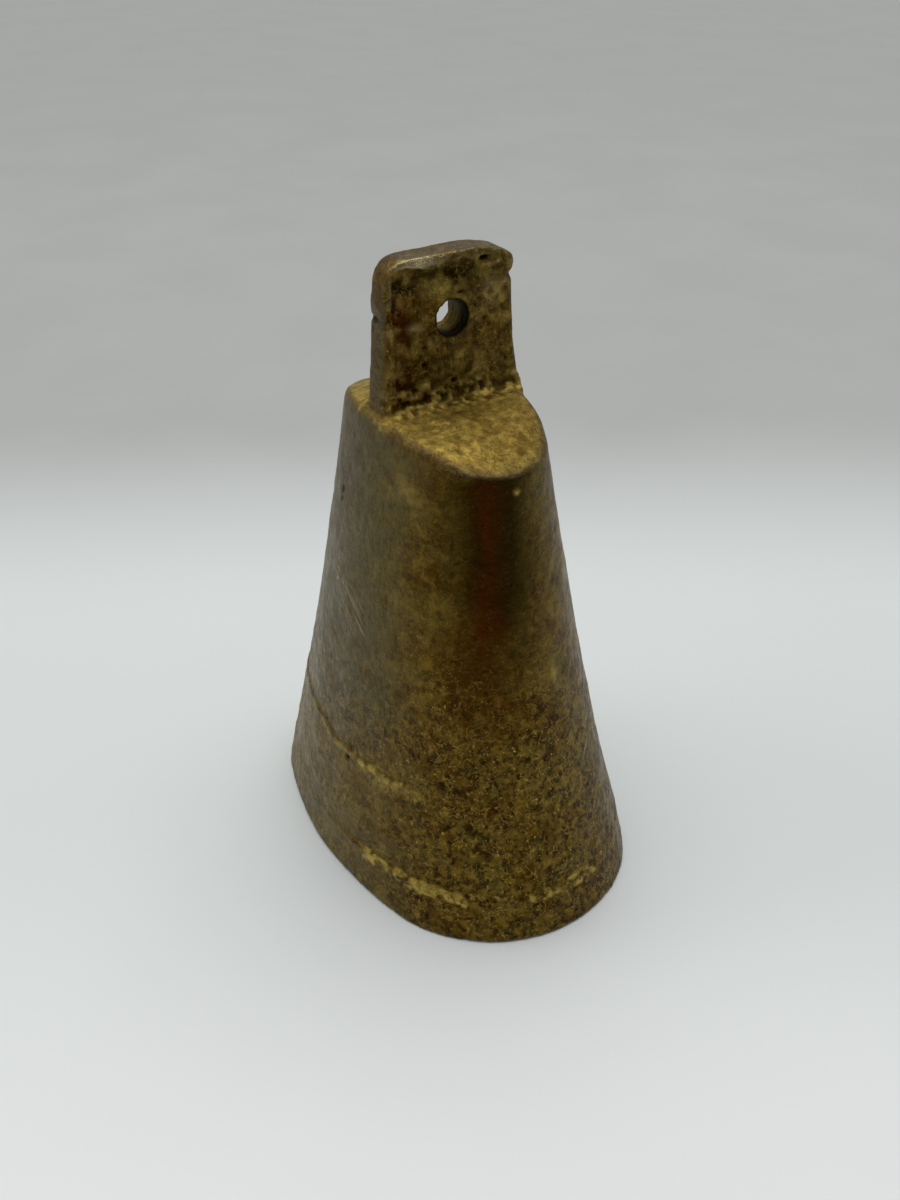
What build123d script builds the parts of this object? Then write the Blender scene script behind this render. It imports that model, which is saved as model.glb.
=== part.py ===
"""A cast brass animal bell with an iron clapper, in millimetres.

The bell is one casting: a flared shell of oval section, a domed crown, a lip band
round the mouth and an upright lug with a cross hole. An iron staple is cast into
the crown. A wire ring hangs on the staple, and the clapper hangs on the ring.

The origin is the centre of the mouth, on the surface that the bell stands on.
+X runs along the long axis of the mouth, +Z points up to the lug.
"""
from build123d import *
import math
import os

# Driving dimensions of the shell
BODY_HEIGHT = 100.0          # mouth to the top of the crown
MOUTH_LENGTH = 94.4          # long axis of the shell at the mouth, without the lip
MOUTH_WIDTH = 64.4           # short axis of the shell at the mouth, without the lip
MOUTH_END_RADIUS = 29.2      # radius of the mouth's narrow ends
CROWN_LENGTH = 51.0
CROWN_WIDTH = 29.8
CROWN_END_RADIUS = 11.5
CROWN_DROP = 5.0             # how far the crown falls from its middle to its ends
LENGTH_FLARE = 1.36          # over 1 sweeps outwards towards the mouth
WIDTH_FLARE = 0.87           # under 1 bulges outwards near the crown
WALL = 3.6
CROWN_THICKNESS = 5.5
CROWN_EDGE_RADIUS = 2.0

# Lip band
LIP_HEIGHT = 10.0
LIP_PROUD = 0.5              # how far the band stands out from the shell
LIP_EDGE_RADIUS = 0.4

# Lug
LUG_HEIGHT = 27.0
LUG_BASE_WIDTH = 29.0
LUG_TOP_WIDTH = 25.8
LUG_OFFSET = 0.8             # the lug stands this much off centre towards +Y
LUG_THICKNESS = 6.4
LUG_CORNER_RADIUS = 4.0
LUG_TOP_RISE = 1.2           # how far the top edge is crowned
LUG_EDGE_RADIUS = 1.2
LUG_ROOT_RADIUS = 1.8
LUG_ROOT_SINK = 0.3          # buries the foot's feather edge in the domed crown
HOLE_DIAMETER = 6.4
HOLE_HEIGHT = 15.5           # hole centre above the crown

# Staple that is cast into the crown
STAPLE_WIRE = 4.0
STAPLE_SPAN = 14.0           # between the centres of the two legs
STAPLE_DROP = 15.0           # crown's inner face to the centre of the bend
STAPLE_EMBED = 3.6           # length of each leg inside the crown

# Ring on the staple
RING_WIRE = 3.2
RING_MEAN_DIAMETER = 15.0
RING_GAP = 0.4               # butt joint where the ring was closed
RING_GAP_ANGLE = 20.0        # where the joint is, up from the ring's side

# Clapper
SHANK_DIAMETER = 3.6
EYE_MEAN_DIAMETER = 9.2
EYE_NECK_RADIUS = 4.0        # bend that sets the rod over to one side of the eye
EYE_TIP_GAP = 0.6            # between the eye's bent tip and the rod
BOB_DIAMETER = 19.0
BOB_CENTRE_HEIGHT = 18.0     # above the mouth
BOB_NECK_DIAMETER = 8.0
BOB_NECK_HEIGHT = 4.0        # above the ball
BOB_NECK_FILLET = 1.5
BOB_NECK_CHAMFER = 0.6
WASHER_DIAMETER = 9.0
WASHER_THICKNESS = 1.2
WASHER_SLACK = 0.2           # round the rod
PEEN_DIAMETER = 6.4
PEEN_HEIGHT = 1.8

# Fits
HANGING_CLEARANCE = 0.15     # between a wire and the loop that hangs on it

# Values worked out from the driving dimensions
SHELL_SECTIONS = 5
CROWN_UNDERSIDE = BODY_HEIGHT - CROWN_THICKNESS
STAPLE_BEND_Z = CROWN_UNDERSIDE - STAPLE_DROP
RING_TOP_Z = STAPLE_BEND_Z + (STAPLE_WIRE + RING_WIRE) / 2 + HANGING_CLEARANCE
RING_CENTRE_Z = RING_TOP_Z - RING_MEAN_DIAMETER / 2
RING_BOTTOM_Z = RING_TOP_Z - RING_MEAN_DIAMETER
EYE_TOP_Z = RING_BOTTOM_Z + (RING_WIRE + SHANK_DIAMETER) / 2 + HANGING_CLEARANCE
EYE_CENTRE_Z = EYE_TOP_Z - EYE_MEAN_DIAMETER / 2
BOB_FLAT_DIAMETER = WASHER_DIAMETER + 1.0
BOB_BOTTOM_Z = BOB_CENTRE_HEIGHT - math.sqrt(BOB_DIAMETER**2 - BOB_FLAT_DIAMETER**2) / 2
WASHER_BOTTOM_Z = BOB_BOTTOM_Z - WASHER_THICKNESS
HOLE_Z = BODY_HEIGHT + HOLE_HEIGHT
CLEAR = 5.0                  # how far cutting and joining solids run past their work


def oval(half_length, half_width, end_radius, z):
    """A face bounded by four tangent arcs, lying level at height z."""
    reach = half_length - end_radius
    side_radius = (reach**2 + half_width**2 - end_radius**2) / (2 * (half_width - end_radius))
    share = end_radius / (side_radius - end_radius)
    joint_x = reach + share * reach
    joint_y = share * (side_radius - half_width)
    arcs = [
        ThreePointArc((-joint_x, joint_y), (0, half_width), (joint_x, joint_y)),
        ThreePointArc((joint_x, joint_y), (half_length, 0), (joint_x, -joint_y)),
        ThreePointArc((joint_x, -joint_y), (0, -half_width), (-joint_x, -joint_y)),
        ThreePointArc((-joint_x, -joint_y), (-half_length, 0), (-joint_x, joint_y)),
    ]
    return Pos(0, 0, z) * make_face(arcs)


def shell_section(z, grow=0.0):
    """The shell's outline at height z, moved outwards by grow."""
    share = max(0.0, 1 - z / BODY_HEIGHT)
    half_length = CROWN_LENGTH / 2 + (MOUTH_LENGTH - CROWN_LENGTH) / 2 * share**LENGTH_FLARE
    half_width = CROWN_WIDTH / 2 + (MOUTH_WIDTH - CROWN_WIDTH) / 2 * share**WIDTH_FLARE
    end_radius = CROWN_END_RADIUS + (MOUTH_END_RADIUS - CROWN_END_RADIUS) * share
    return oval(half_length + grow, half_width + grow, end_radius + grow, z)


def shell_blank(grow=0.0):
    """The whole flared body as one solid, from the mouth to the crown's top."""
    heights = [BODY_HEIGHT * i / (SHELL_SECTIONS - 1) for i in range(SHELL_SECTIONS)]
    return loft([shell_section(z, grow) for z in heights])


def below_crown(lowered=0.0):
    """Everything under the crown's domed top, as a prism that runs across the bell."""
    arc_radius = (CROWN_LENGTH**2 / 4 + CROWN_DROP**2) / (2 * CROWN_DROP)
    arc_end = 0.6 * CROWN_LENGTH
    arc_end_z = BODY_HEIGHT - arc_radius + math.sqrt(arc_radius**2 - arc_end**2)
    side = MOUTH_LENGTH / 2 + CLEAR
    outline = [
        ThreePointArc((-arc_end, arc_end_z), (0, BODY_HEIGHT), (arc_end, arc_end_z)),
        Polyline(
            (arc_end, arc_end_z), (side, arc_end_z), (side, -CLEAR - CROWN_THICKNESS),
            (-side, -CLEAR - CROWN_THICKNESS), (-side, arc_end_z), (-arc_end, arc_end_z),
        ),
    ]
    face = Plane.XZ * make_face(outline)
    return Pos(0, 0, -lowered) * extrude(face, MOUTH_WIDTH, both=True)


def lug():
    """The upright lug: a tapered slab that stands across the bell, with its cross hole."""
    top = BODY_HEIGHT + LUG_HEIGHT
    root = CROWN_UNDERSIDE + CROWN_THICKNESS / 4
    shoulder = top - LUG_TOP_RISE
    outline = [
        Polyline(
            (-LUG_TOP_WIDTH / 2, shoulder), (-LUG_BASE_WIDTH / 2, BODY_HEIGHT),
            (-LUG_BASE_WIDTH / 2, root), (LUG_BASE_WIDTH / 2, root),
            (LUG_BASE_WIDTH / 2, BODY_HEIGHT), (LUG_TOP_WIDTH / 2, shoulder),
        ),
        ThreePointArc((LUG_TOP_WIDTH / 2, shoulder), (0, top), (-LUG_TOP_WIDTH / 2, shoulder)),
    ]
    slab = extrude(Plane.YZ * make_face(outline), LUG_THICKNESS / 2, both=True)
    corners = slab.edges().filter_by(Axis.X).group_by(Axis.Z)[-1]
    slab = fillet(corners, LUG_CORNER_RADIUS)
    rims = [
        edge for face in slab.faces().filter_by(Axis.X) for edge in face.edges()
        if edge.center().Z > BODY_HEIGHT
    ]
    return Pos(0, LUG_OFFSET, 0) * fillet(rims, LUG_EDGE_RADIUS)


def lug_root():
    """The concave foot that blends the lug's broad faces into the crown."""
    near = LUG_THICKNESS / 2
    far = near + LUG_ROOT_RADIUS
    low = BODY_HEIGHT - LUG_ROOT_SINK
    high = low + LUG_ROOT_RADIUS
    knee = LUG_ROOT_RADIUS * (1 - math.sqrt(0.5))
    base = CROWN_UNDERSIDE + CROWN_THICKNESS / 2
    outline = [
        Line((-near, high), (near, high)),
        ThreePointArc((near, high), (near + knee, low + knee), (far, low)),
        Polyline((far, low), (far, base), (-far, base), (-far, low)),
        ThreePointArc((-far, low), (-near - knee, low + knee), (-near, high)),
    ]
    foot = extrude(Plane.XZ * make_face(outline), LUG_BASE_WIDTH / 2, both=True)
    return Pos(0, LUG_OFFSET, 0) * foot


def staple_path():
    """The staple's centre line: down one leg, round the bend and up the other leg."""
    half = STAPLE_SPAN / 2
    top = CROWN_UNDERSIDE + STAPLE_EMBED
    bend = STAPLE_BEND_Z + half
    down = Line((-half, top), (-half, bend))
    turn = ThreePointArc((-half, bend), (0, STAPLE_BEND_Z), (half, bend))
    rise = Line((half, bend), (half, top))
    return Plane.XZ * Wire([down, turn, rise])


def wire_along(path, diameter):
    """A round wire swept along a path."""
    start = Plane(origin=path @ 0, z_dir=path % 0)
    return sweep(start * Circle(diameter / 2), path=path)


def crown_staple():
    return wire_along(staple_path(), STAPLE_WIRE)


def bell_body():
    """The casting: shell, crown, lip band and lug, hollow inside and open at the mouth."""
    outer = shell_blank() & below_crown()
    crown_rim = [edge for edge in outer.edges() if edge.center().Z > BODY_HEIGHT - 2 * CROWN_DROP]
    outer = fillet(crown_rim, CROWN_EDGE_RADIUS)
    lip = loft([shell_section(0, LIP_PROUD), shell_section(LIP_HEIGHT, LIP_PROUD)])
    lip = fillet(lip.edges().group_by(Axis.Z)[-1], LIP_EDGE_RADIUS)
    lip = fillet(lip.edges().group_by(Axis.Z)[0], LIP_EDGE_RADIUS)
    cavity = shell_blank(-WALL) & below_crown(CROWN_THICKNESS)
    hole = Rot(0, 90, 0) * Cylinder(HOLE_DIAMETER / 2, LUG_THICKNESS + 2 * CLEAR)
    solid = outer + lug() + lug_root() + lip
    return solid - cavity - Pos(0, LUG_OFFSET, HOLE_Z) * hole - crown_staple()


def clapper_ring():
    """A wire ring in the YZ plane, closed with a narrow butt joint."""
    ring = Rot(0, 90, 0) * Torus(RING_MEAN_DIAMETER / 2, RING_WIRE / 2)
    cutter = Pos(0, RING_MEAN_DIAMETER / 2, 0) * Box(2 * RING_WIRE, 2 * RING_WIRE, RING_GAP)
    return Pos(0, 0, RING_CENTRE_Z) * (ring - Rot(RING_GAP_ANGLE, 0, 0) * cutter)


def shank_path():
    """The rod's centre line: up to the neck of the eye and round to the eye's tip."""
    radius = EYE_MEAN_DIAMETER / 2
    bend = EYE_NECK_RADIUS
    neck_z = EYE_CENTRE_Z - math.sqrt(radius**2 + 2 * radius * bend)
    centre = (-bend, neck_z)
    turn = math.degrees(math.atan2(EYE_CENTRE_Z - neck_z, bend))
    tip = math.degrees(math.acos((SHANK_DIAMETER / 2 + EYE_TIP_GAP) / (radius + SHANK_DIAMETER / 2)))
    rod = Line((0, WASHER_BOTTOM_Z), (0, neck_z))
    neck = CenterArc(centre, bend, 0, turn)
    eye = CenterArc((0, EYE_CENTRE_Z), radius, turn - 180, tip - turn - 180)
    return Plane.XZ * Wire([rod, neck, eye])


def clapper_shank():
    """The clapper's rod: an eye bent round at the top and a peened head at the bottom."""
    rod = wire_along(shank_path(), SHANK_DIAMETER)
    peen = Pos(0, 0, WASHER_BOTTOM_Z - PEEN_HEIGHT / 2) * Cylinder(PEEN_DIAMETER / 2, PEEN_HEIGHT)
    peen = fillet(peen.edges().group_by(Axis.Z)[0], PEEN_HEIGHT / 2)
    return rod + peen


def clapper_bob():
    """A ball with a short neck, bored for the rod and flat underneath for the washer."""
    ball = Pos(0, 0, BOB_CENTRE_HEIGHT) * Sphere(BOB_DIAMETER / 2)
    neck_top = BOB_CENTRE_HEIGHT + BOB_DIAMETER / 2 + BOB_NECK_HEIGHT
    neck = Pos(0, 0, (BOB_CENTRE_HEIGHT + neck_top) / 2)
    neck = neck * Cylinder(BOB_NECK_DIAMETER / 2, neck_top - BOB_CENTRE_HEIGHT)
    bob = ball + neck
    junction = [
        edge for edge in bob.edges().filter_by(GeomType.CIRCLE)
        if BOB_CENTRE_HEIGHT < edge.center().Z < neck_top - BOB_NECK_HEIGHT / 2
    ]
    bob = fillet(junction, BOB_NECK_FILLET)
    bob = chamfer(bob.edges().group_by(Axis.Z)[-1], BOB_NECK_CHAMFER)
    below = Pos(0, 0, BOB_BOTTOM_Z - BOB_DIAMETER / 2) * Box(*3 * (BOB_DIAMETER,))
    bore = Pos(0, 0, BOB_CENTRE_HEIGHT) * Cylinder(SHANK_DIAMETER / 2, 3 * BOB_DIAMETER)
    return bob - below - bore


def clapper_washer():
    """A flat washer that lies between the ball and the peened head."""
    middle = Pos(0, 0, BOB_BOTTOM_Z - WASHER_THICKNESS / 2)
    disc = Cylinder(WASHER_DIAMETER / 2, WASHER_THICKNESS)
    disc = chamfer(disc.edges(), WASHER_THICKNESS / 6)
    return middle * (disc - Cylinder(SHANK_DIAMETER / 2 + WASHER_SLACK, WASHER_THICKNESS))


def main():
    os.makedirs("parts", exist_ok=True)
    export_step(bell_body(), "parts/bell_body.step")
    export_step(crown_staple(), "parts/crown_staple.step")
    export_step(clapper_ring(), "parts/clapper_ring.step")
    export_step(clapper_shank(), "parts/clapper_shank.step")
    export_step(clapper_bob(), "parts/clapper_bob.step")
    export_step(clapper_washer(), "parts/clapper_washer.step")


main()
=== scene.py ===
"""Looks of the cast brass bell: a worn casting with an iron clapper, on a pale floor."""

import math

import bpy
import numpy as np
from mathutils import Matrix, Vector


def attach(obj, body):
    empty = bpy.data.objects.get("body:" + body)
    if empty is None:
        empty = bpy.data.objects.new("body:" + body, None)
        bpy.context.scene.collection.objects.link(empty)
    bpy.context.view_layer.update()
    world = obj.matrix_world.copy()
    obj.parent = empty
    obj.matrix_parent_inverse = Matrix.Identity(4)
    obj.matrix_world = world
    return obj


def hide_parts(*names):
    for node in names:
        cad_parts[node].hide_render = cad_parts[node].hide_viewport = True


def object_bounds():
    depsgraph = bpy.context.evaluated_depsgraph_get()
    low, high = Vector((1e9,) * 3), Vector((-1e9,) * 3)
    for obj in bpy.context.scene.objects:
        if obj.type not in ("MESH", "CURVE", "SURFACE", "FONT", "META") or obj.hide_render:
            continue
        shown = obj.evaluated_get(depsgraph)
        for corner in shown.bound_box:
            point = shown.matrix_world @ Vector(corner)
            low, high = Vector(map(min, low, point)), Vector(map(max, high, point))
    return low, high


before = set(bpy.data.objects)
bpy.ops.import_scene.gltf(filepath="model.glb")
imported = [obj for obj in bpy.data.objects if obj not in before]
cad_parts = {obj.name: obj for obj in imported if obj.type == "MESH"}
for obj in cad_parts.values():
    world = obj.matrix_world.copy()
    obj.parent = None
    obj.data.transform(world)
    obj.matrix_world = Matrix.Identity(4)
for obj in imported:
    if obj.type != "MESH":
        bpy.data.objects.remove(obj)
cad_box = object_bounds()

MM = 0.001

# The casting, in millimetres, as the CAD has it
BODY_HEIGHT = 100.0
MOUTH_HALF_LENGTH = 47.2
MOUTH_HALF_WIDTH = 32.2
MOUTH_END_RADIUS = 29.2
CROWN_HALF_LENGTH = 25.5
CROWN_HALF_WIDTH = 14.9
CROWN_END_RADIUS = 11.5
LENGTH_FLARE = 1.36
WIDTH_FLARE = 0.87
WALL = 3.6
LIP_HEIGHT = 10.0
LUG_HALF_THICKNESS = 3.2
LUG_OFFSET = 0.8
HOLE_Z = 115.5
HOLE_RADIUS = 3.2

# The lug's worn corner: the middle of its round (y, height above the body), its reach, and the
# share that is taken off what stands further out
CORNER_Y = -5.6
CORNER_HEIGHT = 20.6
CORNER_REACH = 5.0
CORNER_SHARE_OFF = 0.04

# How far the lug's broad faces stand back, under the top edge and over the whole face
SET_BACK_UNDER_TOP = 0.22
SET_BACK_FACE = 0.33

# Where the lug's top edge stands fuller: centre, radii and height added
FULLER_TOP = [
    ((0, -7.5, 125.5), (9, 7.5, 5.0), 1.0),
    ((0, 3.0, 126.0), (9, 10, 5.0), 0.6),
]

# The second ledge on the -Y side: its height, how far the wall steps out below it, and its bead
LEDGE_Z = 30.0
LEDGE_STEP = 0.24
LEDGE_BEAD = 0.12

# The bead on the lip's upper edge, the swelling over it, and the bead's share where it is faintest
BEAD_PROUD = 0.16
OVER_LIP_PROUD = 0.48
LIP_FAINT = 0.22

# Single features, each a centre and its radii
LIP_CLEAREST = ((28, -22, 10), (36, 34, 8))
# where the lip's painted highlight reaches far, and the painted highlight on the second ledge
LIP_HIGHLIGHT_END = ((42, 3, 10), (24, 34, 8))
LEDGE_HIGHLIGHT = ((14, -24.5, 29.3), (17, 9, 2.8))
UPPER_GOLD = ((14, -15, 88), (12, 9, 8))
CAP_GOLD = ((3, -2.5, 121.0), (3, 4.5, 2.6))
# the painted highlight along the lug's cap edge
CAP_EDGE_HIGHLIGHT = ((2.8, -5.6, 126.0), (1.5, 6.8, 1.7))
KNOT = ((LUG_HALF_THICKNESS, 9.2, 119.0), (3, 5.0, 5.0))
LEAF = ((LUG_HALF_THICKNESS, -6.6, 114.8), (3, 2.4, 1.6))
NOTCH_BULGE = ((0, -12.4, 119.6), (4.5, 2.5, 3.2))
BURR = ((1.6, 13.2, 123.6), (4.0, 2.4, 2.8))
BURR_UNDERCUT = ((2.8, 13.4, 120.9), (2.8, 1.6, 1.2))
NICK = ((32.3, 4.2, 54.1), (2.5, 1.4, 4.2))
KNOB = ((26.3, -0.4, 91.5), (1.8, 1.0, 1.0))

# Casting pits: centre, radii and depth
PITS = [
    ((3.2, 7.7, 124.9), (1.8, 1.5, 0.9), 1.3),
    ((3.2, -4.9, 111.0), (1.5, 0.8, 0.7), 0.5),
    ((3.2, -4.9, 107.6), (1.5, 0.9, 0.9), 0.8),
    ((3.2, -7.0, 103.4), (1.5, 0.8, 0.6), 0.5),
    ((3.2, 1.2, 103.6), (1.5, 0.9, 0.8), 0.9),
    ((3.2, 5.8, 110.0), (1.5, 1.2, 0.5), 0.4),
    ((3.2, 2.6, 119.8), (1.5, 1.3, 0.5), 0.5),
    ((-1.5, -12.6, 116.6), (3.5, 1.3, 0.9), 0.7),
    ((-7.2, -17.9, 82.1), (1.0, 1.2, 1.2), 0.7),
    ((-6.9, -18.3, 80.4), (0.8, 1.0, 0.9), 0.5),
    ((6.1, -27.2, 27.8), (1.1, 1.4, 0.9), 0.8),
]

# The handling scratches on the -Y side: their middle in millimetres, how steeply they slope
# down in degrees, and one scratch's length and width in metres
SCRATCH_MIDDLE = (-1.0, -20.5, 63.0)
SCRATCH_SLOPE = 35.0
SCRATCH_LENGTH = 0.012
SCRATCH_WIDTH = 0.00040

# Mesh fineness
CAST_VOXEL = 0.00040
IRON_VOXEL = 0.00025

# Hammer marks on the iron pieces, in millimetres
WIRE_DENT = 0.06
THIN_DENT = 0.05
BALL_DENT = 0.22

# The floor's radius in metres and its sides, and how far in millimetres its opening
# keeps inside the mouth's outline, found by this many halvings
FLOOR_RADIUS = 3.0
FLOOR_SEGMENTS = 144
OPENING_INSET = 0.9
OPENING_ROUNDS = 30

# The floor darkens under a painted grey glow, standing in for a backdrop, between these distances
# behind the bell, in metres, and is painted palest, as if better lit, from this far on the camera's side
BACKDROP_START = 0.070
BACKDROP_FULL = 0.215
BACKDROP_GLOW = 0.80
NEAR_FLOOR_FULL = -0.12

# Lamps: place, aim, size and power. The one under the floor lights the inside of the bell
# through the floor's opening.
LAMPS = {
    "overhead": ((-0.12, 0.08, 0.75), (0, 0, 0.04), 0.80, 3.5),
    "side": ((-0.6, -0.75, 0.55), (0, 0, 0.05), 0.6, 1.2),
    "below": ((0.25, -0.15, -0.60), (0, 0, 0.03), 0.80, 4.0),
}

# The room: its light, dimmed towards the camera's side and most a little below it. Then the view.
ROOM_BRIGHT = 0.375
ROOM_DIM = 0.03
ROOM_DIM_START = 0.15
ROOM_DIM_FULL = 0.95
ROOM_DIM_TILT = -0.35
ROOM_COLOUR = (0.95, 0.98, 1.0, 1)
VIEW_SIDE = math.radians(-30.48)
VIEW_HEIGHT = math.radians(33.79)
VIEW_DISTANCE = 0.32741
VIEW_TARGET = Vector((-0.06526, 0.03962, 0.0027))
VIEW_ROLL = math.radians(-0.97)
VIEW_LENS = 33.75
VIEW_SENSOR = 36.0

# Colours of the brass
UMBER = (0.110, 0.056, 0.005, 1)
OLIVE = (0.155, 0.106, 0.019, 1)
OCHRE = (0.300, 0.185, 0.030, 1)
BRIGHT_GRAIN = (0.400, 0.262, 0.050, 1)
# gold of bright places, also of painted highlights and glints
GOLD_AND_HIGHLIGHT = (0.560, 0.400, 0.090, 1)
RED_BROWN = (0.058, 0.013, 0.0006, 1)
# grey of the painted sheen on walls that face sideways
GREY_SHEEN = (0.119, 0.099, 0.044, 1)
# worn brass, also of painted highlights
WORN_BRASS_AND_HIGHLIGHT = (0.480, 0.400, 0.230, 1)
# pinkish tone, also of the painted highlight on the crown's rim
PINKISH_AND_HIGHLIGHT = (0.330, 0.245, 0.130, 1)
DARK = (0.012, 0.006, 0.001, 1)
# dark tarnish, also the colour of painted shade
TARNISH_AND_SHADE = (0.024, 0.014, 0.001, 1)

# Colours of the iron
SCALE_BLACK = (0.045, 0.038, 0.034, 1)
IRON_GREY = (0.14, 0.125, 0.11, 1)
RUST = (0.16, 0.055, 0.018, 1)
WORN_IRON = (0.36, 0.34, 0.31, 1)

# Colours of the stage
FLOOR_PALE = (0.80, 0.835, 0.82, 1)
FLOOR_NEAR_PAINTED_PALER = (0.95, 0.96, 0.94, 1)
FLOOR_FAR = (0.10, 0.10, 0.10, 1)
FLOOR_SPECK = (0.60, 0.62, 0.61, 1)
PAINTED_BACKDROP_GREY = (0.37, 0.378, 0.36, 1)


# ---------------------------------------------------------------- helpers

class Noise:
    """Smooth seeded noise from -1 to 1 on a wrapped lattice."""

    SIZE = 32

    def __init__(self, seed):
        self.table = np.random.default_rng(seed).random((self.SIZE,) * 3) * 2 - 1

    def __call__(self, points, cell, offset=0.0):
        q = points / cell + offset
        base = np.floor(q).astype(int)
        f = q - base
        f = f * f * (3 - 2 * f)
        total = 0.0
        for corner in np.ndindex(2, 2, 2):
            index = (base + corner) % self.SIZE
            weight = np.prod(np.where(corner, f, 1 - f), axis=1)
            total = total + weight * self.table[index[:, 0], index[:, 1], index[:, 2]]
        return total


def step(value, low, high):
    """0 below low, 1 above high, smooth between. low may be the larger one."""
    t = np.clip((value - low) / (high - low), 0, 1)
    return t * t * (3 - 2 * t)


def band(value, low, high, soft):
    """1 between low and high, with soft edges outside them."""
    return step(value, low - soft, low) * step(value, high + soft, high)


def blob(points, centre, radius):
    """1 at the centre, 0 from radius outwards."""
    away = np.linalg.norm((points - np.array(centre)) / np.array(radius), axis=1)
    return step(away, 1.0, 0.0)


def outline_distance(points):
    """Signed distance, in millimetres, outwards from the shell's outer outline at each height."""
    share = np.clip(1 - points[:, 2] / BODY_HEIGHT, 0, 1)
    a = CROWN_HALF_LENGTH + (MOUTH_HALF_LENGTH - CROWN_HALF_LENGTH) * share**LENGTH_FLARE
    b = CROWN_HALF_WIDTH + (MOUTH_HALF_WIDTH - CROWN_HALF_WIDTH) * share**WIDTH_FLARE
    r = CROWN_END_RADIUS + (MOUTH_END_RADIUS - CROWN_END_RADIUS) * share
    reach = a - r
    side = (reach**2 + b**2 - r**2) / (2 * (b - r))
    x, y = abs(points[:, 0]), abs(points[:, 1])
    in_end = np.arctan2(x, y + side - b) > np.arctan2(reach, side - b)
    return np.where(in_end, np.hypot(x - reach, y) - r, np.hypot(x, y + side - b) - side)


def coords(mesh):
    flat = np.empty(len(mesh.vertices) * 3)
    mesh.vertices.foreach_get("co", flat)
    return flat.reshape(-1, 3)


def set_coords(mesh, points):
    mesh.vertices.foreach_set("co", points.ravel())
    mesh.update()


def normals(mesh):
    flat = np.empty(len(mesh.vertices) * 3)
    mesh.vertex_normals.foreach_get("vector", flat)
    return flat.reshape(-1, 3)


def edge_pairs(mesh):
    flat = np.empty(len(mesh.edges) * 2, dtype=np.int64)
    mesh.edges.foreach_get("vertices", flat)
    return flat.reshape(-1, 2)


def neighbour_mean(values, pairs, count):
    """The mean of each vertex's neighbours."""
    degree = np.maximum(np.bincount(pairs.ravel(), minlength=count), 1)
    if values.ndim == 1:
        total = np.bincount(pairs[:, 0], values[pairs[:, 1]], count)
        total += np.bincount(pairs[:, 1], values[pairs[:, 0]], count)
        return total / degree
    return np.stack([neighbour_mean(values[:, i], pairs, count) for i in range(3)], axis=1)


def smooth(values, pairs, rounds, factor=0.5):
    for _ in range(rounds):
        values = values + factor * (neighbour_mean(values, pairs, len(values)) - values)
    return values


def remeshed(mesh, voxel, name):
    """A new closed mesh of even small faces round the one given."""
    holder = bpy.data.objects.new(name, mesh)
    bpy.context.scene.collection.objects.link(holder)
    remesh = holder.modifiers.new("remesh", "REMESH")
    remesh.mode = "VOXEL"
    remesh.voxel_size = voxel
    remesh.adaptivity = 0.0
    depsgraph = bpy.context.evaluated_depsgraph_get()
    made = bpy.data.meshes.new_from_object(holder.evaluated_get(depsgraph))
    bpy.data.objects.remove(holder)
    made.name = name
    return made


def set_attribute(mesh, name, values):
    attribute = mesh.attributes.new(name, "FLOAT", "POINT")
    attribute.data.foreach_set("value", np.clip(values, 0, 1))


def edge_wear(mesh, pairs, rounds, strength):
    """0.5 on flat ground, towards 1 on ridges and edges, towards 0 in hollows."""
    points = coords(mesh)
    n = normals(mesh)
    broad = smooth(points, pairs, rounds)
    height = np.einsum("ij,ij->i", points - broad, n) / MM
    return np.clip(0.5 + height * strength, 0, 1)


def add_piece(mesh, name, body, node, material):
    """Makes the object, shades it smooth and gives it its place in the frame."""
    obj = bpy.data.objects.new(name, mesh)
    bpy.context.scene.collection.objects.link(obj)
    mesh.materials.clear()
    mesh.materials.append(material)
    mesh.polygons.foreach_set("use_smooth", np.ones(len(mesh.polygons), dtype=bool))
    mesh.update()
    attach(obj, body)
    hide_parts(node)
    return obj


# ---------------------------------------------------------------- materials

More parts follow.
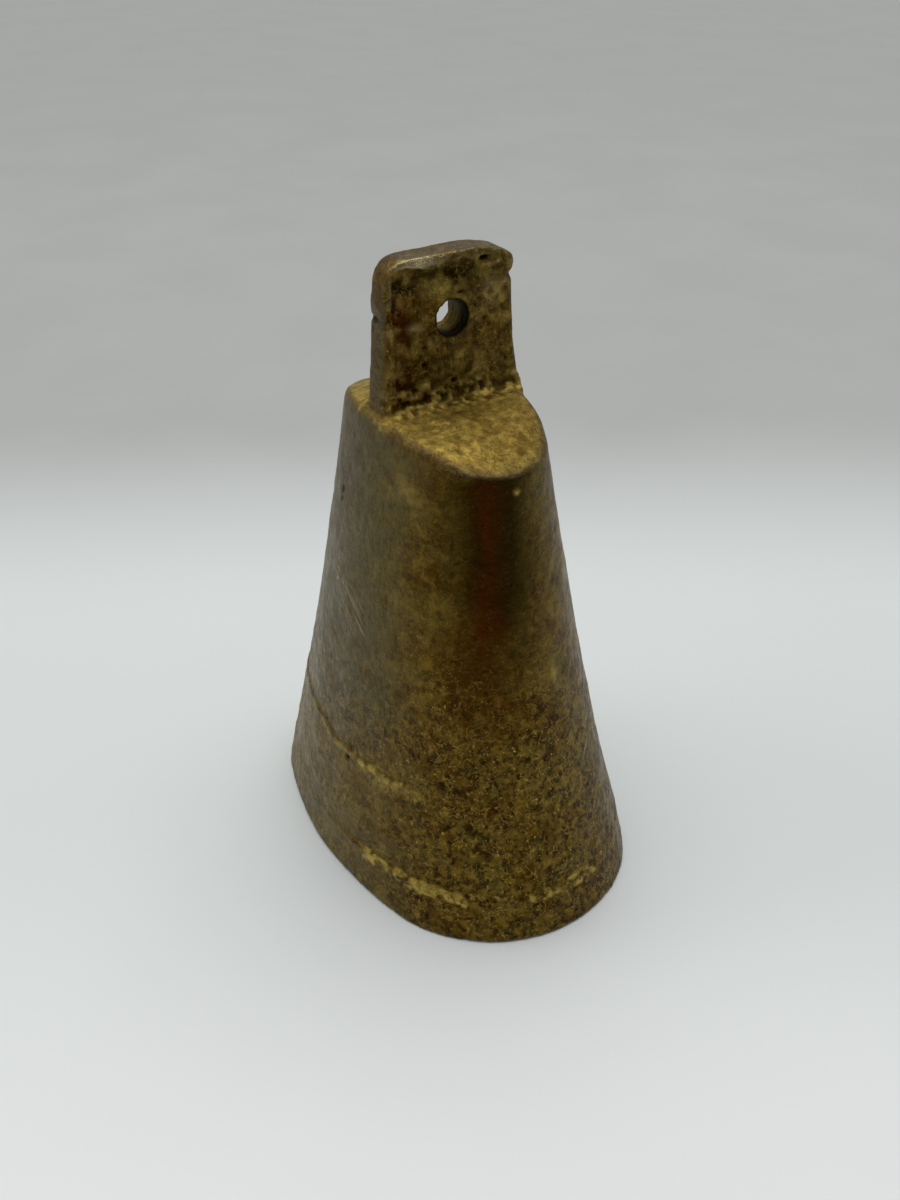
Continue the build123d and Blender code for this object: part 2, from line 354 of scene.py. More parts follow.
class Nodes:
    """Short calls for building one material's nodes."""

    def __init__(self, name):
        self.material = bpy.data.materials.new(name)
        self.material.use_nodes = True
        self.tree = self.material.node_tree
        self.tree.nodes.clear()
        self.shader = self.make("ShaderNodeBsdfPrincipled")
        self.output = self.make("ShaderNodeOutputMaterial")
        self.link(self.shader.outputs["BSDF"], self.output.inputs["Surface"])
        self.place = self.make("ShaderNodeTexCoord").outputs["Object"]

    def make(self, kind, **settings):
        node = self.tree.nodes.new(kind)
        for key, value in settings.items():
            setattr(node, key, value)
        return node

    def link(self, source, target):
        self.tree.links.new(source, target)

    def put(self, socket, value):
        if isinstance(value, bpy.types.NodeSocket):
            self.link(value, socket)
        else:
            socket.default_value = value

    def scaled(self, scale):
        node = self.make("ShaderNodeMapping")
        self.link(self.place, node.inputs["Vector"])
        node.inputs["Scale"].default_value = scale
        return node.outputs["Vector"]

    def slanted(self):
        """Coordinates drawn out along the handling scratches on the -Y side."""
        turned = self.make("ShaderNodeMapping", vector_type="TEXTURE")
        self.link(self.place, turned.inputs["Vector"])
        turned.inputs["Rotation"].default_value = (0, math.radians(SCRATCH_SLOPE), 0)
        turned.inputs["Scale"].default_value = (SCRATCH_LENGTH, SCRATCH_WIDTH, SCRATCH_WIDTH)
        return turned.outputs["Vector"]

    def noise(self, scale, detail=4.0, rough=0.55, distortion=0.0, vector=None):
        node = self.make("ShaderNodeTexNoise")
        self.link(vector or self.place, node.inputs["Vector"])
        node.inputs["Scale"].default_value = scale
        node.inputs["Detail"].default_value = detail
        node.inputs["Roughness"].default_value = rough
        node.inputs["Distortion"].default_value = distortion
        return node.outputs["Fac"]

    def times(self, *factors):
        total = factors[0]
        for factor in factors[1:]:
            total = self.math("MULTIPLY", total, factor)
        return total

    def attribute(self, name):
        node = self.make("ShaderNodeAttribute")
        node.attribute_name = name
        return node.outputs["Fac"]

    def remap(self, value, low, high, to_low=0.0, to_high=1.0):
        node = self.make("ShaderNodeMapRange", interpolation_type="SMOOTHSTEP")
        self.put(node.inputs["Value"], value)
        node.inputs["From Min"].default_value = low
        node.inputs["From Max"].default_value = high
        node.inputs["To Min"].default_value = to_low
        node.inputs["To Max"].default_value = to_high
        return node.outputs["Result"]

    def math(self, operation, a, b=0.0):
        node = self.make("ShaderNodeMath", operation=operation)
        self.put(node.inputs[0], a)
        self.put(node.inputs[1], b)
        return node.outputs[0]

    def mix(self, factor, a, b):
        node = self.make("ShaderNodeMix", data_type="RGBA")
        self.put(node.inputs["Factor"], factor)
        self.put(node.inputs[6], a)
        self.put(node.inputs[7], b)
        return node.outputs[2]

    def bump(self, height, strength, distance, normal=None):
        node = self.make("ShaderNodeBump")
        node.inputs["Strength"].default_value = strength
        node.inputs["Distance"].default_value = distance
        self.link(height, node.inputs["Height"])
        if normal is not None:
            self.link(normal, node.inputs["Normal"])
        return node.outputs["Normal"]


def brass_material():
    n = Nodes("aged_brass")
    # cloudy patina: umber, olive and ochre, with rusty clouds in it
    colour = n.mix(n.remap(n.noise(95, 6, 0.70, 0.4), 0.40, 0.60), UMBER, OLIVE)
    fleck = n.remap(n.noise(430, 5, 0.70, 0.2), 0.47, 0.62)
    colour = n.mix(n.times(fleck, 0.54), colour, OCHRE)
    shade = n.remap(n.noise(560, 4, 0.66, 0.2), 0.50, 0.64)
    shade_strength = n.remap(n.attribute("matte"), 0.0, 0.8, 0.40, 0.15)
    colour = n.mix(n.times(shade, shade_strength), colour, TARNISH_AND_SHADE)
    rusty = n.remap(n.noise(170, 6, 0.75, 0.8), 0.50, 0.64)
    colour = n.mix(n.times(rusty, 0.45), colour, RED_BROWN)
    # painted grey sheen where the walls and the lug's sides face sideways, and a grey tone on the lug's
    # top
    hazy = n.remap(n.noise(260, 5, 0.7, 0.5), 0.36, 0.60, 0.55, 1.0)
    colour = n.mix(n.times(n.attribute("grey_and_sheen"), hazy), colour, GREY_SHEEN)
    # fine drawn lines that run down the walls
    drawn = n.remap(n.noise(1.0, 4, 0.6, 0.0, n.scaled((1700, 1700, 130))), 0.44, 0.60)
    colour = n.mix(n.times(drawn, 0.30, n.attribute("drawn")), colour, TARNISH_AND_SHADE)
    # tarnish, with painted shade down the near end and under the lug's cap
    colour = n.mix(n.attribute("tarnish_and_shade"), colour, TARNISH_AND_SHADE)
    colour = n.mix(n.attribute("streak"), colour, RED_BROWN)
    # cast grain: dark specks in a net of lighter lines, strongest on the lower half
    grainy = n.attribute("grainy")
    patchy_grain = n.remap(n.noise(330, 3, 0.6), 0.36, 0.58, 0.45, 1.0)
    specks = n.times(n.remap(n.noise(620, 4, 0.66, 0.3), 0.48, 0.57), patchy_grain)
    contour = n.math("ABSOLUTE", n.math("SUBTRACT", n.noise(560, 2, 0.6, 0.3), 0.5))
    patchy_lines = n.remap(n.noise(300, 3, 0.6, 0.3), 0.36, 0.56)
    lines = n.times(n.remap(contour, 0.034, 0.006), patchy_lines)
    colour = n.mix(n.times(specks, grainy, 0.90), colour, DARK)
    colour = n.mix(n.times(lines, grainy, 0.70), colour, BRIGHT_GRAIN)
    glint = n.times(n.remap(n.noise(1300, 2, 0.5), 0.66, 0.74), grainy)
    colour = n.mix(n.times(glint, 0.8), colour, GOLD_AND_HIGHLIGHT)
    # golden places and painted highlights, pinkish places and a painted highlight on the crown's rim,
    # wear and a painted highlight on the cap edge, scratches, dirt, darker hollows and painted shadow in
    # the bore
    mottle = n.remap(n.noise(640, 5, 0.70, 0.2), 0.42, 0.60, 0.50, 1.0)
    colour = n.mix(n.times(n.attribute("gold_and_highlight"), mottle), colour, GOLD_AND_HIGHLIGHT)
    colour = n.mix(n.attribute("pink_and_rim_highlight"), colour, PINKISH_AND_HIGHLIGHT)
    colour = n.mix(n.attribute("worn"), colour, WORN_BRASS_AND_HIGHLIGHT)
    scratches = n.remap(n.noise(1.0, 1, 0.5, 0.0, n.slanted()), 0.60, 0.68)
    colour = n.mix(n.times(scratches, n.attribute("scratched"), 0.55), colour, WORN_BRASS_AND_HIGHLIGHT)
    colour = n.mix(n.attribute("dirt_and_shade"), colour, DARK)
    n.link(colour, n.shader.inputs["Base Color"])
    n.shader.inputs["Metallic"].default_value = 1.0
    # duller where sand or dirt clings, smoother where it is worn
    rough = n.remap(n.noise(230, 5, 0.62), 0.32, 0.68, 0.31, 0.45)
    rough = n.math("ADD", rough, n.times(n.attribute("matte"), 0.22))
    rough = n.math("SUBTRACT", rough, n.times(n.attribute("worn"), 0.15))
    n.link(rough, n.shader.inputs["Roughness"])
    relief = n.math("SUBTRACT", n.times(lines, 0.5), specks)
    relief = n.times(relief, n.math("ADD", n.times(grainy, 0.8), 0.2))
    surface = n.bump(relief, 0.75, 0.00030)
    surface = n.bump(n.noise(1500, 4, 0.65, 0.3), 0.35, 0.0003, surface)
    surface = n.bump(drawn, 0.12, 0.0002, surface)
    n.link(surface, n.shader.inputs["Normal"])
    return n.material


def iron_material():
    n = Nodes("dark_iron")
    colour = n.mix(n.remap(n.noise(160, 4, 0.6), 0.4, 0.62), SCALE_BLACK, IRON_GREY)
    colour = n.mix(n.remap(n.noise(260, 5, 0.7, 0.6), 0.52, 0.70), colour, RUST)
    colour = n.mix(n.attribute("worn"), colour, WORN_IRON)
    n.link(colour, n.shader.inputs["Base Color"])
    n.shader.inputs["Metallic"].default_value = 0.75
    n.link(n.remap(n.noise(300, 4, 0.6), 0.3, 0.7, 0.42, 0.68), n.shader.inputs["Roughness"])
    n.link(n.bump(n.noise(900, 4, 0.6), 0.4, 0.0003), n.shader.inputs["Normal"])
    return n.material


def floor_material():
    n = Nodes("pale_floor")
    # distance behind the bell, as the photo looks at it
    far = n.make("ShaderNodeVectorMath", operation="DOT_PRODUCT")
    n.link(n.place, far.inputs[0])
    far.inputs[1].default_value = (-math.cos(VIEW_SIDE), -math.sin(VIEW_SIDE), 0)
    distance = far.outputs["Value"]
    # darker behind the bell under the painted glow, and painted paler on the camera's side as if better
    # lit
    shade = n.remap(distance, BACKDROP_START, BACKDROP_FULL)
    near = n.remap(distance, 0.0, NEAR_FLOOR_FULL)
    speck = n.remap(n.noise(14, 3, 0.5), 0.3, 0.7, 0.0, 0.05)
    colour = n.mix(near, FLOOR_PALE, FLOOR_NEAR_PAINTED_PALER)
    colour = n.mix(shade, colour, FLOOR_FAR)
    colour = n.mix(speck, colour, FLOOR_SPECK)
    n.link(colour, n.shader.inputs["Base Color"])
    n.shader.inputs["Roughness"].default_value = 0.6
    # painted grey glow behind the bell, standing in for a backdrop
    n.shader.inputs["Emission Color"].default_value = PAINTED_BACKDROP_GREY
    glow = n.remap(distance, BACKDROP_START, BACKDROP_FULL, 0.0, BACKDROP_GLOW)
    n.link(glow, n.shader.inputs["Emission Strength"])
    # seen from underneath, the floor lets the camera through
    see_through = n.make("ShaderNodeBsdfTransparent")
    sides = n.make("ShaderNodeNewGeometry")
    choice = n.make("ShaderNodeMixShader")
    n.link(sides.outputs["Backfacing"], choice.inputs[0])
    n.link(n.shader.outputs["BSDF"], choice.inputs[1])
    n.link(see_through.outputs["BSDF"], choice.inputs[2])
    n.link(choice.outputs["Shader"], n.output.inputs["Surface"])
    return n.material


# ---------------------------------------------------------------- casting

def shape_lug(p):
    """Rounds the lug's worn corner and sets its faces back under its rim. Millimetres."""
    p = p.copy()
    x, y, t = p[:, 0], p[:, 1], p[:, 2] - BODY_HEIGHT
    # worn top corner on the -Y side, rounder than the one on the +Y side
    dy, dt = y - CORNER_Y, t - CORNER_HEIGHT
    away = np.hypot(dy, dt)
    corner = (dy < 0) & (dt > 0) & (away > 0.1)
    over = np.where(corner, np.maximum(away - CORNER_REACH, 0), 0)
    keep = away - over * CORNER_SHARE_OFF
    scale = np.where(corner, keep / np.maximum(away, 0.1), 1)
    p[:, 1] = np.where(corner, CORNER_Y + dy * scale, y)
    p[:, 2] = np.where(corner, BODY_HEIGHT + CORNER_HEIGHT + dt * scale, p[:, 2])
    # the broad faces stand back inside a smooth rim, deepest under the top edge
    y, t = p[:, 1], p[:, 2] - BODY_HEIGHT
    rim_t = 24.6 + 0.35 * np.sin(y * 0.5) - 0.9 * step(y, 3.0, 9.0)
    below_rim = step(t, rim_t + 0.5, rim_t - 0.5)
    under = band(y, -10.2, 13.0, 0.8) * step(t, 21.0, 23.2) * below_rim
    field = band(y, -10.7, 14.5, 0.5) * step(t, 2.5, 4.5) * below_rim
    by_hole = step(np.hypot(y - LUG_OFFSET, p[:, 2] - HOLE_Z), HOLE_RADIUS + 2.2, HOLE_RADIUS + 0.6)
    depth = SET_BACK_UNDER_TOP * under + SET_BACK_FACE * field
    p[:, 0] -= np.sign(x) * depth * step(abs(x), 1.0, 2.6) * (1 - by_hole)
    for centre, radii, height in FULLER_TOP:
        p[:, 2] += height * blob(p, centre, radii) * step(t, 21.0, 24.5)
    # the +Y side runs out in a curve to the shoulder
    flare = step(y, 9.0, 14.0) * step(t, 9.0, -1.0) * step(t, -6.0, -1.0) * step(abs(x), 7.0, 3.0)
    p[:, 1] += 0.5 * flare
    return p


class Casting:
    """The casting's mesh, with the relief and the marks that sand, file and wear left on it.

    Places are values from 0 to 1 for every vertex. Lengths are in millimetres.
    """

    def __init__(self):
        self.mesh = remeshed(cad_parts["bell_body"].data.copy(), CAST_VOXEL, "bell_casting")
        self.pairs = edge_pairs(self.mesh)
        points = shape_lug(self.softened() / MM) * MM
        set_coords(self.mesh, points)
        self.normal = normals(self.mesh)
        self.point = points / MM
        self.rolling, self.knotty, self.gritty, self.pitty = Noise(11), Noise(12), Noise(13), Noise(14)
        self.find_places()
        self.cut_relief()
        self.find_wear()
        self.paint()

    def softened(self):
        """The points smoothed a little, not at all by the hole, and most at the crown's rim."""
        raw = coords(self.mesh)
        hole_away = np.hypot(raw[:, 1] / MM - LUG_OFFSET, raw[:, 2] / MM - HOLE_Z)
        by_hole = step(hole_away, HOLE_RADIUS + 1.4, HOLE_RADIUS + 0.6)
        points = raw + (smooth(raw, self.pairs, 3) - raw) * (1 - by_hole)[:, None]
        by_rim = band(raw[:, 2] / MM, 96.0, 99.9, 1.5) * step(abs(raw[:, 0]) / MM, 4.5, 7.0)
        by_rim *= step(outline_distance(raw / MM), -WALL, -WALL * 0.6)
        return points + (smooth(points, self.pairs, 30) - points) * (0.8 * by_rim)[:, None]

    def find_places(self):
        p, n = self.point, self.normal
        x, y, z = p.T
        t = z - BODY_HEIGHT
        away = outline_distance(p)
        self.outer = step(away, -WALL * 0.75, -WALL * 0.25) * step(z, 99.5, 97.5)
        self.inside = step(away, -WALL * 0.25, -WALL * 0.75) * step(z, 98, 95)
        self.on_lug = step(t, 0.6, 1.6) * step(abs(x), 5.5, 4.5)
        self.on_crown = step(n[:, 2], 0.5, 0.85) * band(z, 92, 101.5, 1) * (1 - self.on_lug)
        self.crown_rim = band(n[:, 2], 0.42, 0.82, 0.14) * band(z, 92, 99.8, 1.0) * (1 - self.on_lug)
        self.lug_face = step(abs(n[:, 0]), 0.6, 0.9) * self.on_lug
        self.lug_side = self.on_lug * step(abs(n[:, 1]), 0.4, 0.8) * step(t, 25.0, 18.0)
        self.side_minus = step(y, -2.0, -8.0)
        self.side_ways = step(abs(n[:, 1]), 0.84, 0.985) * self.outer
        self.hole_away = np.hypot(y - LUG_OFFSET, z - HOLE_Z)
        self.near_hole = step(self.hole_away, HOLE_RADIUS + 1.8, HOLE_RADIUS + 0.5) * self.on_lug
        in_bore = step(self.hole_away, HOLE_RADIUS + 0.5, HOLE_RADIUS + 0.2)
        self.bore = self.near_hole * in_bore
        self.bore_front = self.bore * step(x, 0.9, 1.5)
        # the second ledge and the lip wander a little round the bell
        along, around = p * [1, 0, 0], p * [1, 1, 0]
        self.ledge_z = LEDGE_Z + 0.7 * self.rolling(along, 9.0) + 0.25 * self.knotty(along, 2.5)
        self.ledge = step(x, 30.0, 18.0) * self.side_minus * self.outer
        self.lip_z = LIP_HEIGHT + 0.35 * self.rolling(around, 8.0) + 0.2 * self.knotty(around, 2.0)
        self.lip_strength = LIP_FAINT + (1 - LIP_FAINT) * blob(p, *LIP_CLEAREST)
        # a ragged fringe along the lug's foot
        ragged = 1.6 * self.knotty(p, 2.6, 15.0)
        self.foot = band(t + ragged, -0.8, 2.8, 1.6) * step(abs(x) + ragged, 8.5, 4.0)
        self.foot *= step(abs(x), 1.5, 3.0)
        self.crumbs = np.maximum(self.gritty(p, 1.15, 9.0), 0) + 0.7 * np.maximum(self.pitty(p, 0.75), 0)
        self.knot = blob(p, *KNOT) * self.lug_face
        self.leaf = blob(p, *LEAF) * self.lug_face
        self.nick = blob(p, *NICK)
        self.knob = blob(p, *KNOB)
        self.pits = np.max([blob(p, centre, radii) for centre, radii, _ in PITS], axis=0)

    def cut_relief(self):
        """Moves the vertices along their normals, and keeps them inside the CAD box."""
        p = self.point
        x, z = p[:, 0], p[:, 2]
        rolling, knotty, gritty, pitty = self.rolling, self.knotty, self.gritty, self.pitty
        lift = 0.20 * rolling(p, 13.0) + 0.09 * rolling(p, 5.0, 7.0)
        lift += 0.045 * knotty(p, 1.9) + 0.035 * gritty(p, 0.9)
        low_grain = step(z, 70.0, 35.0) * self.outer
        lift += low_grain * (0.05 * gritty(p, 1.3, 4.0) - 0.10 * step(pitty(p, 1.1, 6.0), 0.25, 0.75))
        # second ledge
        below = step(z, self.ledge_z + 0.35, self.ledge_z - 0.35) * step(z, 10.0, 16.0)
        crest = band(z, self.ledge_z - 0.9, self.ledge_z - 0.2, 0.5)
        lift += self.ledge * (LEDGE_STEP * below + LEDGE_BEAD * crest)
        # bead along the lip's upper edge
        bead = band(z, self.lip_z - 1.1, self.lip_z - 0.5, 0.5) * self.outer
        lift += BEAD_PROUD * bead * (1 + 0.8 * pitty(p, 1.2)) * self.lip_strength
        over_lip = step(z, 27.0, 10.0) * step(z, LIP_HEIGHT - 0.3, LIP_HEIGHT + 0.3)
        lift += OVER_LIP_PROUD * over_lip * (1 - self.lip_strength) * self.outer
        # crown and lug: sand skin, knots and pits
        skin = 0.08 * knotty(p, 2.6, 3.0) + 0.09 * gritty(p, 1.05, 5.0) + 0.05 * pitty(p, 0.7, 5.0)
        lift += self.on_crown * skin
        lift += self.lug_face * (0.12 * knotty(p, 2.4, 3.0) + 0.13 * gritty(p, 1.15, 5.0))
        lift -= self.lug_face * 0.22 * step(pitty(p, 0.95, 8.0), 0.35, 0.8)
        lift += self.foot * (0.50 * self.crumbs - 0.10)
        lift += self.knot * (0.40 + 0.55 * gritty(p, 1.5, 2.0) + 0.25 * pitty(p, 0.9, 1.0))
        lift += 0.35 * self.leaf
        for centre, radii, depth in PITS:
            lift -= depth * blob(p, centre, radii)
        # bulge over the notch on the lug's -Y side, and the burr at the +Y top corner
        lift += 0.45 * blob(p, *NOTCH_BULGE)
        lift += 0.6 * blob(p, *BURR) * (1 + 0.3 * gritty(p, 1.0))
        lift -= 0.55 * blob(p, *BURR_UNDERCUT)
        lift += 0.35 * self.nick
        lift += 0.35 * self.knob
        # the bore stays true, but for shallow rings in its far half
        lift *= 1 - 0.9 * self.near_hole
        lift += self.bore * step(x, 1.4, 0.6) * (0.20 + 0.10 * np.sin(x * 5.5))
        moved = p + self.normal * lift[:, None]
        low, high = (np.array(corner) / MM for corner in cad_box)
        moved = np.clip(moved, low, high)
        moved[:, 2] = np.where(z < 0.05, np.maximum(moved[:, 2], 0), moved[:, 2])
        set_coords(self.mesh, moved * MM)

    def find_wear(self):
        """Ridges and hollows of the finished relief, and two noises that break up the marks."""
        wear = edge_wear(self.mesh, self.pairs, 14, 2.2)
        self.ridge = step(wear, 0.62, 0.95)
        self.hollow = step(wear, 0.40, 0.12)
        self.fine_wear = edge_wear(self.mesh, self.pairs, 3, 6.0)
        self.broken = 0.5 + 0.5 * self.knotty(self.point, 2.2, 21.0)
        self.crumbly = 0.5 + 0.5 * self.pitty(self.point, 1.0, 17.0)

    def paint(self):
        """Writes the attributes that the brass material reads."""
        self.paint_streak_tarnish_and_shade()
        self.paint_gold_and_highlights()
        self.paint_sheen_wear_and_highlights()
        self.paint_dirt_shade_and_grain()

    def paint_streak_tarnish_and_shade(self):
        p, broken, crumbly, lug_face = self.point, self.broken, self.crumbly, self.lug_face
        x, y, z = p.T
        t = z - BODY_HEIGHT
        # streak down the near end, red at its heart, spreading lower down, and a painted dark reflection
        # over the near end round it
        line_y = -5.8 - 0.20 * np.maximum(78 - z, 0) + 0.9 * self.knotty(p * [0, 1, 0.35], 2.6)
        half_width = 2.2 + 0.12 * np.maximum(72 - z, 0)
        core = np.exp(-((y - line_y) / half_width) ** 2) * step(x, 12, 20) * self.outer
        core *= step(z, 97, 92) * (0.38 * step(z, 12, 40) + 0.62 * step(z, 44, 66))
        self.dark_end_reflection = np.exp(-((y + 4.2 + 0.05 * (95 - z)) / 8.0) ** 2) * step(x, 12, 20) * self.outer
        self.dark_end_reflection *= step(z, 97, 93) * step(z, 44, 78)
        red_edge = band(y, -10.9, -8.0, 0.5) * lug_face * step(t, 0.5, 2.0) * step(t, 23.5, 17.0)
        streak = core * (0.60 + 0.40 * broken) + 0.95 * red_edge * (0.6 + 0.4 * broken)
        streak += 0.45 * lug_face * step(y, 3.0, -7.0) * step(crumbly, 0.45, 0.7)
        set_attribute(self.mesh, "streak", streak)
        # tarnish, with painted shadow under the lug's cap and a painted dark reflection down the near
        # end
        shadow_under_cap = lug_face * band(y, -10.5, 6.0, 1.0) * band(t, 21.6, 23.8, 1.2)
        tarnish_and_shade = 1.15 * self.dark_end_reflection + 0.42 * lug_face * step(y, -11.4, -10.8) * (1 - 0.5 * broken)
        tarnish_and_shade += 0.7 * shadow_under_cap + 0.5 * red_edge + 0.60 * self.lug_side * (0.6 + 0.4 * crumbly)
        set_attribute(self.mesh, "tarnish_and_shade", tarnish_and_shade)

    def paint_gold_and_highlights(self):
        p, broken, crumbly, lug_face = self.point, self.broken, self.crumbly, self.lug_face
        x, y, z = p.T
        patchy = 0.4 * broken + 0.6 * crumbly
        crown = 0.28 + 0.20 * step(crumbly, 0.35, 0.65) + 0.30 * step(y, 1.0, -8.0)
        gold_and_highlight = self.on_crown * (1 - 0.65 * self.crown_rim) * crown
        # painted highlight, as if lit from above, along the lip's upper edge and on the second ledge,
        # over their real relief
        lit_bead = band(z, self.lip_z - 1.6, self.lip_z + 0.2, 1.0) * self.outer
        reach = np.maximum(self.lip_strength, 0.62 * blob(p, *LIP_HIGHLIGHT_END) ** 0.5)
        gold_and_highlight += 0.85 * lit_bead * step(patchy, 0.95 - reach * 0.65, 1.12 - reach * 0.68)
        gold_and_highlight += 0.85 * blob(p, *LEDGE_HIGHLIGHT) * step(patchy, 0.40, 0.60)
        ledge_highlight = self.ledge * band(z, self.ledge_z - 1.1, self.ledge_z - 0.2, 0.4)
        ledge_highlight *= step(broken, 0.35, 0.7)
        gold_and_highlight += ledge_highlight * (0.2 + 0.4 * crumbly) * (0.4 + 0.6 * step(x, -12, 4))
        # the shell's other golden places
        gold_and_highlight += 0.5 * self.nick + 0.8 * self.knob
        gold_and_highlight += 0.35 * blob(p, *UPPER_GOLD) * step(0.6 * broken + 0.4 * crumbly, 0.45, 0.75)
        gold_and_highlight += 0.08 * self.outer * self.side_minus * step(z, 40, 25) * step(x, 30, 15)
        # the lug's
        gold_and_highlight += 0.75 * self.foot * step(self.crumbs, 0.05, 0.55)
        mottled = step(0.5 * self.knotty(p, 3.6, 33.0) + 0.5 * self.gritty(p, 1.6, 3.0), 0.02, 0.45)
        gold_and_highlight += lug_face * (0.30 * mottled + 0.35 * blob(p, *CAP_GOLD))
        gold_and_highlight += 0.4 * self.leaf + 0.22 * self.knot * crumbly
        set_attribute(self.mesh, "gold_and_highlight", gold_and_highlight)

    def paint_sheen_wear_and_highlights(self):
        p, broken, crumbly = self.point, self.broken, self.crumbly
        x, y, z = p.T
        t = z - BODY_HEIGHT
        # painted grey sheen on the walls that face sideways, more low on the +Y side and on the lug's
        # sides, and a grey tone on the lug's top
        low_right = step(y, 4.0, 12.0) * step(z, 46, 26)
        grey_and_sheen = self.side_ways * (0.9 * (0.35 + 0.65 * step(z, 26, 46)) + 0.45 * low_right)
        grey_and_sheen += 0.35 * step(t, 24.8, 26.0) + 0.35 * self.lug_side * step(t, 8.0, 18.0)
        set_attribute(self.mesh, "grey_and_sheen", grey_and_sheen)
        set_attribute(self.mesh, "drawn", self.outer * (0.35 + 0.65 * self.side_ways))
        matte = 0.5 * self.bore + self.bore_front + 0.85 * self.on_crown
        matte += 0.5 * self.foot + 0.4 * self.lug_face
        set_attribute(self.mesh, "matte", matte)
        dx, dy, dz = (p - SCRATCH_MIDDLE).T
        across = dy * 0.2 + dx * 0.55 + dz * 0.80
        along = dx * 0.82 - dz * 0.57
        near = step(abs(across), 5.0, 1.0) * step(abs(along), 15.0, 6.0)
        set_attribute(self.mesh, "scratched", self.outer * self.side_minus * near)
        pink_and_rim_highlight = 0.20 * self.knot + 0.35 * self.leaf
        # painted highlight along the crown's worn rim
        pink_and_rim_highlight += 0.28 * self.crown_rim * (0.5 + 0.5 * crumbly) * (0.4 + 0.6 * step(x, 0, 14))
        set_attribute(self.mesh, "pink_and_rim_highlight", pink_and_rim_highlight)
        away_from_hole = step(self.hole_away, HOLE_RADIUS + 1.2, HOLE_RADIUS + 2.4)
        ridge = self.ridge * np.where(self.on_lug > 0.1, away_from_hole, 1)
        worn = 0.10 * ridge * (self.on_lug + 0.6) * (0.3 + 0.7 * broken)
        # painted highlight along the lug's cap edge, where it is also worn smooth
        worn += 0.9 * blob(p, *CAP_EDGE_HIGHLIGHT) * step(t, 25.1, 25.7)
        set_attribute(self.mesh, "worn", worn)

    def paint_dirt_shade_and_grain(self):
        p, z = self.point, self.point[:, 2]
        # darker in hollows, in pits and inside the bell, with painted shadow in the bore's front half
        dirt_and_shade = 0.55 * self.hollow + 0.85 * self.pits + 0.95 * self.bore_front + 0.25 * self.inside
        dirt_and_shade += 0.18 * self.on_crown * step(0.5 * self.broken + 0.5 * self.crumbly, 0.42, 0.25)
        set_attribute(self.mesh, "dirt_and_shade", dirt_and_shade)
        grainy = 0.20 + 0.80 * step(z + 6 * self.rolling(p, 9.0, 2.0), 64, 36)
        grainy *= (0.5 + 0.5 * step(self.fine_wear, 0.35, 0.6)) * (1 - 0.45 * self.side_ways)
        grainy *= 1 - 0.75 * self.dark_end_reflection
        set_attribute(self.mesh, "grainy", grainy + 0.08 * self.on_crown + 0.32 * self.lug_face)


def forge(node, name, body, material, dent):
    """An iron piece: the CAD node remeshed, with shallow hammer marks let into it."""
    mesh = remeshed(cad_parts[node].data.copy(), IRON_VOXEL, name)
    pairs = edge_pairs(mesh)
    points = smooth(coords(mesh), pairs, 2)
    set_coords(mesh, points)
    n = normals(mesh)
    p = points / MM
    marks = Noise(31)
    lift = -dent * (0.5 + 0.5 * marks(p, 4.0)) - 0.3 * dent * (0.5 + 0.5 * marks(p, 1.4, 5.0))
    set_coords(mesh, (p + n * lift[:, None]) * MM)
    wear = edge_wear(mesh, pairs, 8, 3.0)
    set_attribute(mesh, "worn", step(wear, 0.62, 0.9) * 0.7)
    return add_piece(mesh, name, body, node, material)


# ---------------------------------------------------------------- stage

def add_floor():
    """A flat floor, open under the bell's mouth so that light from below reaches the clapper."""
    count = FLOOR_SEGMENTS
    turns = np.linspace(0, 2 * math.pi, count, endpoint=False)
    ways = np.stack([np.cos(turns), np.sin(turns), 0 * turns], axis=1)
    near, far = np.full(count, MOUTH_HALF_WIDTH / 2), np.full(count, MOUTH_HALF_LENGTH * 1.2)
    for _ in range(OPENING_ROUNDS):
        middle = (near + far) / 2
        inside = outline_distance(ways * middle[:, None]) < -OPENING_INSET
        near, far = np.where(inside, middle, near), np.where(inside, far, middle)
    rings = np.concatenate([ways * near[:, None] * MM, ways * FLOOR_RADIUS])
    faces = [(i, count + i, count + (i + 1) % count, (i + 1) % count) for i in range(count)]
    mesh = bpy.data.meshes.new("floor")
    mesh.from_pydata(rings.tolist(), [], faces)
    mesh.update()
    floor = bpy.data.objects.new("floor", mesh)
    bpy.context.scene.collection.objects.link(floor)
    mesh.materials.append(floor_material())


def add_light(name, location, target, size, power):
    data = bpy.data.lights.new(name, "AREA")
    data.shape = "DISK"
    data.size = size
    data.energy = power
    lamp = bpy.data.objects.new(name, data)
    bpy.context.scene.collection.objects.link(lamp)
    lamp.location = location
    aim = Vector(target) - Vector(location)
    lamp.rotation_mode = "QUATERNION"
    lamp.rotation_quaternion = aim.to_track_quat("-Z", "Y")


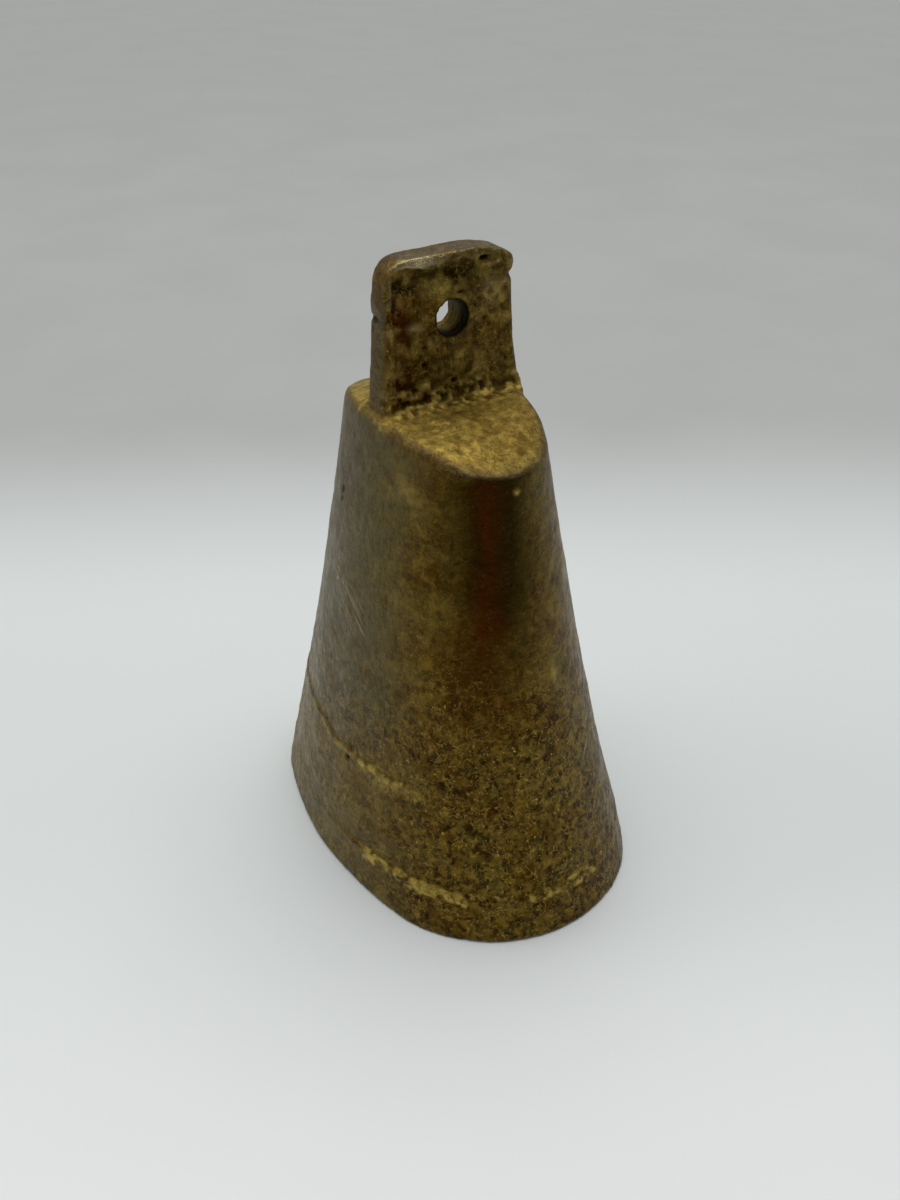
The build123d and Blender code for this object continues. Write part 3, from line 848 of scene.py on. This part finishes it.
def add_world():
    """A plain room: bright above and behind the bell, dim on the camera's side."""
    world = bpy.data.worlds.new("studio")
    bpy.context.scene.world = world
    world.use_nodes = True
    tree = world.node_tree
    background = tree.nodes["Background"]
    background.inputs["Color"].default_value = ROOM_COLOUR
    direction = tree.nodes.new("ShaderNodeTexCoord")
    toward = tree.nodes.new("ShaderNodeVectorMath")
    toward.operation = "DOT_PRODUCT"
    toward.inputs[1].default_value = (math.cos(VIEW_SIDE), math.sin(VIEW_SIDE), ROOM_DIM_TILT)
    tree.links.new(direction.outputs["Generated"], toward.inputs[0])
    dim = tree.nodes.new("ShaderNodeMapRange")
    dim.interpolation_type = "SMOOTHSTEP"
    dim.inputs["From Min"].default_value = ROOM_DIM_START
    dim.inputs["From Max"].default_value = ROOM_DIM_FULL
    dim.inputs["To Min"].default_value = ROOM_BRIGHT
    dim.inputs["To Max"].default_value = ROOM_DIM
    tree.links.new(toward.outputs["Value"], dim.inputs["Value"])
    tree.links.new(dim.outputs["Result"], background.inputs["Strength"])
    # looked at directly, the room is an even grey
    backdrop = tree.nodes.new("ShaderNodeBackground")
    backdrop.inputs["Color"].default_value = ROOM_COLOUR
    backdrop.inputs["Strength"].default_value = ROOM_BRIGHT
    ray = tree.nodes.new("ShaderNodeLightPath")
    choice = tree.nodes.new("ShaderNodeMixShader")
    tree.links.new(ray.outputs["Is Camera Ray"], choice.inputs[0])
    tree.links.new(background.outputs["Background"], choice.inputs[1])
    tree.links.new(backdrop.outputs["Background"], choice.inputs[2])
    tree.links.new(choice.outputs["Shader"], tree.nodes["World Output"].inputs["Surface"])


def add_camera():
    data = bpy.data.cameras.new("camera")
    data.lens = VIEW_LENS
    data.sensor_width = VIEW_SENSOR
    camera = bpy.data.objects.new("camera", data)
    bpy.context.scene.collection.objects.link(camera)
    back = Vector((
        math.cos(VIEW_SIDE) * math.cos(VIEW_HEIGHT),
        math.sin(VIEW_SIDE) * math.cos(VIEW_HEIGHT),
        math.sin(VIEW_HEIGHT),
    ))
    right = (-back).cross(Vector((0, 0, 1))).normalized()
    up = right.cross(-back)
    rolled_right = math.cos(VIEW_ROLL) * right + math.sin(VIEW_ROLL) * up
    rolled_up = -math.sin(VIEW_ROLL) * right + math.cos(VIEW_ROLL) * up
    turn = Matrix((rolled_right, rolled_up, back)).transposed()
    camera.matrix_world = Matrix.Translation(VIEW_TARGET + VIEW_DISTANCE * back) @ turn.to_4x4()
    bpy.context.scene.camera = camera


# ---------------------------------------------------------------- scene

brass = brass_material()
iron = iron_material()
add_piece(Casting().mesh, "bell_casting", "bell", "bell_body", brass)
forge("crown_staple", "staple", "bell", iron, WIRE_DENT)
forge("clapper_ring", "ring", "link", iron, THIN_DENT)
forge("clapper_shank", "clapper_rod", "clapper", iron, WIRE_DENT)
forge("clapper_bob", "clapper_ball", "clapper", iron, BALL_DENT)
forge("clapper_washer", "washer", "clapper", iron, THIN_DENT)

add_floor()
for name, (place, aim, size, power) in LAMPS.items():
    add_light(name, place, aim, size, power)
add_world()
add_camera()
bpy.context.scene.view_settings.view_transform = "Standard"
